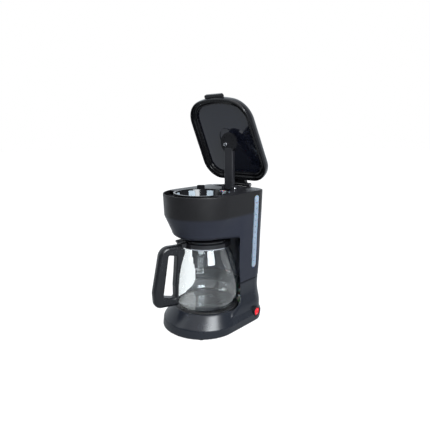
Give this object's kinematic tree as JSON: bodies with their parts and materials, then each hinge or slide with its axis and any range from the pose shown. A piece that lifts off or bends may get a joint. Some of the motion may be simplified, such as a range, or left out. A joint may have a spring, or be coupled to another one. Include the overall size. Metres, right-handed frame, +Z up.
{
  "type": "drip coffee maker",
  "caption": "Black drip coffee maker with a round head, a hinged lid standing open, a swing-out spray arm, a side water window and a glass carafe on its warming plate.",
  "frame": {"origin": "on the table under the heater, at the bottom cover's centre pad, on the plane of symmetry", "axes": "+Z up, -Y the front of the machine, +X its right side, the side of the switch and the water window"},
  "size_m": [0.1847, 0.253, 0.5126],
  "materials": {
    "black_satin": "satin",
    "housing_black": "satin",
    "black_matt": "matt",
    "black_gloss": "gloss",
    "liner_gloss": "gloss",
    "handle_black": "semi-gloss",
    "foot_rubber": "matt",
    "dark_silicone": "matt",
    "clear_silicone": "satin",
    "screw_steel": "plain",
    "plain_steel": "plain",
    "bright_steel": "polished",
    "coated_steel": "non-stick satin",
    "cast_alloy": "cast",
    "fuse_sleeve": "woven glass sleeve",
    "natural_plastic": "satin",
    "milky_plastic": "translucent satin",
    "pale_mesh": "woven nylon",
    "window_blue": "translucent",
    "red_rocker": "gloss",
    "clear_glass": "clear polished"
  },
  "bodies": {
    "machine": {"base_shell": "black_satin", "bottom_cover": "black_matt", "bottom_screws": "screw_steel", "brew_well": "black_satin", "check_valve": "natural_plastic", "cord_gland": "foot_rubber", "element_clamp": "plain_steel", "front_housing": "housing_black", "heating_element": "cast_alloy", "hinge_bracket": "black_satin", "hose_clamps": "plain_steel", "inlet_hose": "clear_silicone", "pivot_block": "black_satin", "plate_seal": "dark_silicone", "rear_housing": "housing_black", "reservoir": "milky_plastic", "riser_hose": "clear_silicone", "riser_tube": "milky_plastic", "rubber_feet": "foot_rubber", "switch_bezel": "black_satin", "switch_body": "black_matt", "thermal_fuse": "fuse_sleeve", "thermostat": "plain_steel", "top_deck": "black_satin", "warming_plate": "coated_steel", "water_window": "window_blue"},
    "lid": {"lid_cover": "black_gloss", "lid_liner": "liner_gloss", "lid_hinge_pin": "plain_steel"},
    "arm": {"spray_arm": "black_satin", "arm_pin": "plain_steel", "spray_head": "black_gloss", "spray_nozzle": "bright_steel"},
    "basket": {"filter_basket": "black_satin", "filter_frame": "black_gloss", "filter_rim": "black_gloss", "filter_tab": "black_gloss", "filter_mesh": "pale_mesh", "valve_seat": "dark_silicone"},
    "valve": {"drip_valve": "natural_plastic", "valve_spring": "plain_steel"},
    "carafe": {"carafe_glass": "clear_glass", "carafe_collar": "black_gloss", "collar_band": "bright_steel", "carafe_handle": "handle_black", "handle_screw": "screw_steel"},
    "carafe_lid": {"carafe_lid": "black_gloss"},
    "rocker": {"switch_rocker": "red_rocker"}
  },
  "joints": [
    {"name": "lid_hinge", "type": "hinge", "parent": "machine", "child": "lid", "pos_m": [0, 0.134, 0.3095], "axis": [-1, 0, 0], "range_deg": [-64, 0]},
    {"name": "arm_pivot", "type": "hinge", "parent": "machine", "child": "arm", "pos_m": [0.016, 0.076, 0.3065], "axis": [-1, 0, 0], "range_deg": [-90, 0]},
    {"name": "basket_lift", "type": "slide", "parent": "machine", "child": "basket", "axis": [0, 0, 1], "range_m": [0, 0.11]},
    {"name": "valve_slide", "type": "slide", "parent": "basket", "child": "valve", "axis": [0, 0, -1], "range_m": [0, 0.003], "deforming": ["valve_spring"]},
    {"name": "carafe_slide", "type": "slide", "parent": "machine", "child": "carafe", "axis": [0, -1, 0], "range_m": [0, 0.2]},
    {"name": "carafe_lid_hinge", "type": "hinge", "parent": "carafe", "child": "carafe_lid", "pos_m": [-0.0171, -0.04294, 0.2009], "axis": [0.9563, -0.2924, 0], "range_deg": [0, 1.4]},
    {"name": "switch_rocker_hinge", "type": "hinge", "parent": "machine", "child": "rocker", "pos_m": [0.0901, 0.0855, 0.0252], "axis": [0, 1, 0], "range_deg": [0, 12]}
  ],
  "couplings": [
    {"joint": "arm_pivot", "follows": "lid_hinge", "ratio": 1.4062},
    {"joint": "valve_slide", "follows": "carafe_slide", "ratio": 0.015}
  ]
}
